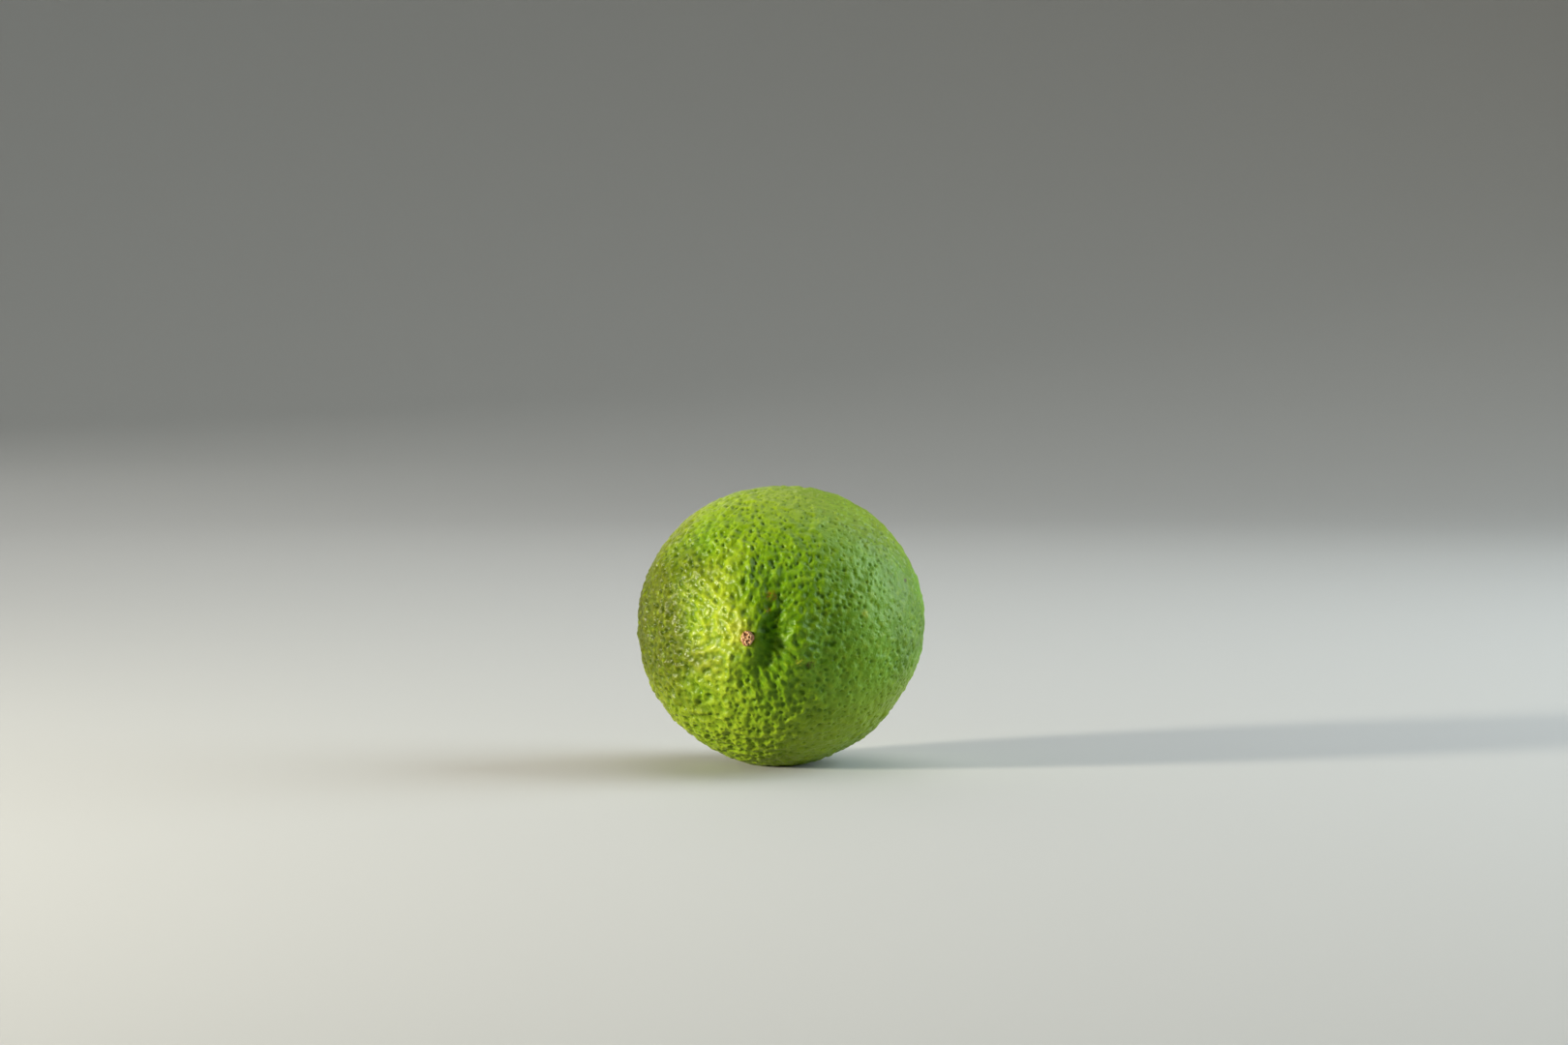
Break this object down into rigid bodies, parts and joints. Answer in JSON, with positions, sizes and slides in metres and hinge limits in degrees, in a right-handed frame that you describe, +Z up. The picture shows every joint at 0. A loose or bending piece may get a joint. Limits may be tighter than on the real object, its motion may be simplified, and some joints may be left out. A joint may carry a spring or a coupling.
{
  "type": "lime",
  "caption": "Whole ripe green lime lying on its side, with a nippled blossom end, dried style and calyx button; a still-life or kitchen fruit that rests on a flat spot.",
  "frame": {"origin": "under the middle of the lime, on the surface it rests on", "axes": "+Z up; the fruit's axis lies along Y, blossom end with the nipple towards -Y, stem end towards +Y"},
  "size_m": [0.0554, 0.0624, 0.0539],
  "materials": {
    "peel": "satin waxy peel, closely pitted with oil glands",
    "dry_style": "dry, dull and fissured",
    "calyx": "dull, dry, green-grey with a pale cut face on the stem"
  },
  "bodies": {
    "root": {"fruit": "peel", "style_stub": "dry_style", "calyx_button": "calyx"}
  },
  "joints": []
}
